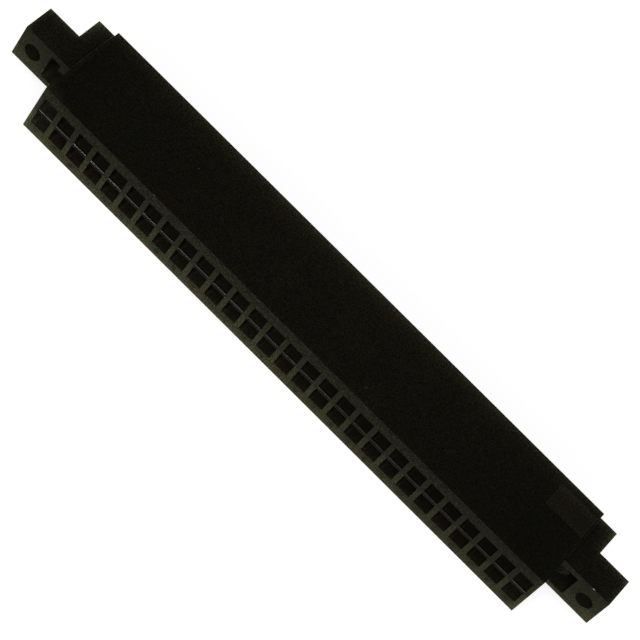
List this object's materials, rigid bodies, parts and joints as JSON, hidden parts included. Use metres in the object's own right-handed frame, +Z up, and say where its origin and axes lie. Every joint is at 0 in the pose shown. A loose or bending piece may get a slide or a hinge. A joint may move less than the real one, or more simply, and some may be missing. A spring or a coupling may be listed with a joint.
{
  "type": "card edge connector housing",
  "caption": "Long moulded insulator with two rows of square contact cavities on its wire side, a slot for a circuit card on the other side and a mounting ear at each end.",
  "frame": {"origin": "middle of the broad underside", "axes": "+X along the rows of cavities, +Y from the wire face to the card face, +Z up from the underside to the top face"},
  "size_m": [0.1318, 0.0186, 0.0113],
  "materials": {
    "housing": "black glass-filled thermoplastic, as moulded, with a faint grain"
  },
  "bodies": {
    "root": {"housing": "housing"}
  },
  "joints": []
}
